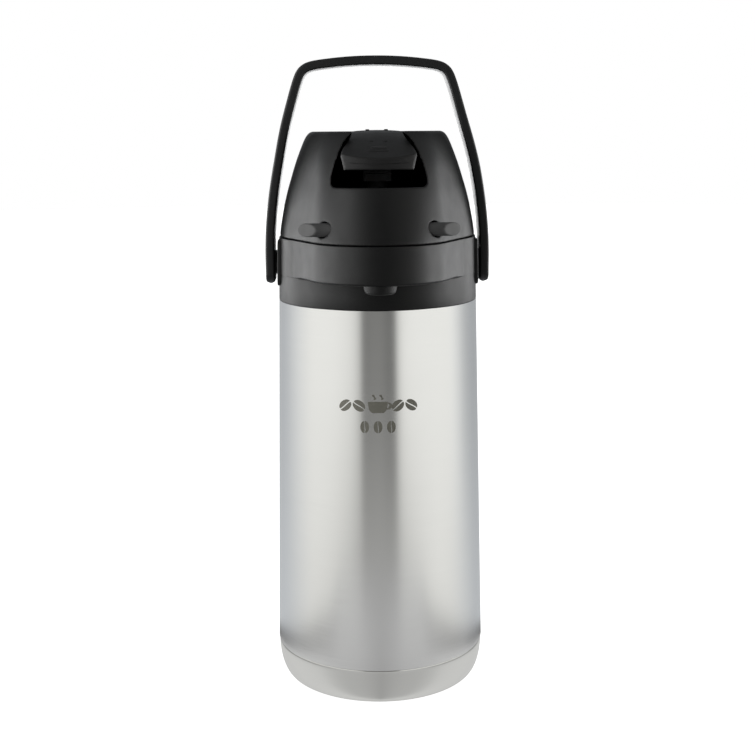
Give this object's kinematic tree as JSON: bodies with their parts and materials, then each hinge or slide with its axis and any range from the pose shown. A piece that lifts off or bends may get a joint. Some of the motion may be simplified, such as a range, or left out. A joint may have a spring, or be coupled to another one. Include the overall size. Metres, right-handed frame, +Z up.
{
  "type": "thermal coffee airpot",
  "caption": "Tall brushed steel vacuum flask on a swivel base, with a black pump head, wide press lever, pouring beak and a swinging carrying bail.",
  "frame": {"origin": "centre of the resting plane under the foot ring, on the body axis", "axes": "+Z up along the body axis; the nozzle and the press lever face -Y; the bail pivots lie along X, +X on the right when seen from the front"},
  "size_m": [0.1698, 0.192, 0.4535],
  "materials": {
    "brushed_steel": "satin, brushed round the body",
    "brushed_band": "finer brushing, brighter",
    "inner_steel": "plain mill finish",
    "screw_steel": "bright plated",
    "black_plastic": "satin moulded polypropylene",
    "lever_plastic": "fine spark-eroded grain",
    "bail_plastic": "satin moulded",
    "inner_plastic": "plain moulded",
    "slide_plastic": "waxy low-friction plastic",
    "rubber": "soft foot rubber",
    "seal_rubber": "grey food-grade silicone"
  },
  "bodies": {
    "base": {"base_band": "brushed_band", "foot_ring": "rubber", "turntable_plate": "inner_plastic", "slide_ring": "slide_plastic", "swivel_screw": "screw_steel", "swivel_washer": "screw_steel"},
    "pot": {"outer_shell": "brushed_steel", "inner_liner": "inner_steel", "outer_bottom": "inner_steel", "vacuum_seal_cap": "inner_steel", "bottom_adapter": "inner_plastic", "shoulder_collar": "black_plastic", "neck_nut": "inner_plastic", "neck_stopper": "inner_plastic", "stopper_gasket": "seal_rubber", "siphon_tube": "inner_plastic", "outlet_duct": "inner_plastic", "nozzle": "black_plastic", "duct_seal": "seal_rubber", "pivot_pins": "screw_steel", "hinge_pin": "screw_steel"},
    "head": {"head_cover": "black_plastic", "lid_base": "inner_plastic", "lid_gasket": "seal_rubber", "lid_screws": "screw_steel", "bellows": "seal_rubber", "return_spring": "screw_steel", "air_boot": "seal_rubber", "air_valve": "seal_rubber", "lever_pin": "screw_steel", "button_springs": "screw_steel", "spring_block": "inner_plastic"},
    "lever": {"press_lever": "lever_plastic"},
    "plunger": {"bellows_cap": "inner_plastic", "pusher_block": "inner_plastic"},
    "button_right": {"release_button_right": "lever_plastic", "latch_arm_right": "inner_plastic"},
    "button_left": {"release_button_left": "lever_plastic", "latch_arm_left": "inner_plastic"},
    "bail": {"bail_handle": "bail_plastic"}
  },
  "joints": [
    {"name": "swivel", "type": "hinge", "parent": "base", "child": "pot", "pos_m": [0, 0, 0.012], "axis": [0, 0, 1], "continuous": true},
    {"name": "bail_swing", "type": "hinge", "parent": "pot", "child": "bail", "pos_m": [0, 0, 0.2965], "axis": [1, 0, 0], "range_deg": [-95, 95]},
    {"name": "head_hinge", "type": "hinge", "parent": "pot", "child": "head", "pos_m": [0, 0.0815, 0.3165], "axis": [-1, 0, 0], "range_deg": [0, 22]},
    {"name": "lever_press", "type": "hinge", "parent": "head", "child": "lever", "pos_m": [0, 0.036, 0.383], "axis": [1, 0, 0], "range_deg": [0, 16], "stiffness_Nm_per_rad": 0.6, "springref_deg": -5.73},
    {"name": "plunger_slide", "type": "slide", "parent": "head", "child": "plunger", "axis": [0, 0, -1], "range_m": [0, 0.0172], "deforming": ["bellows", "return_spring"]},
    {"name": "button_right_push", "type": "slide", "parent": "head", "child": "button_right", "axis": [-1, 0, 0], "range_m": [0, 0.0035], "stiffness_N_per_m": 300, "springref_m": -0.002, "deforming": ["button_springs"]},
    {"name": "button_left_push", "type": "slide", "parent": "head", "child": "button_left", "axis": [1, 0, 0], "range_m": [0, 0.0035], "stiffness_N_per_m": 300, "springref_m": -0.002}
  ],
  "couplings": [
    {"joint": "plunger_slide", "follows": "lever_press", "m_per_rad": 0.0596}
  ]
}
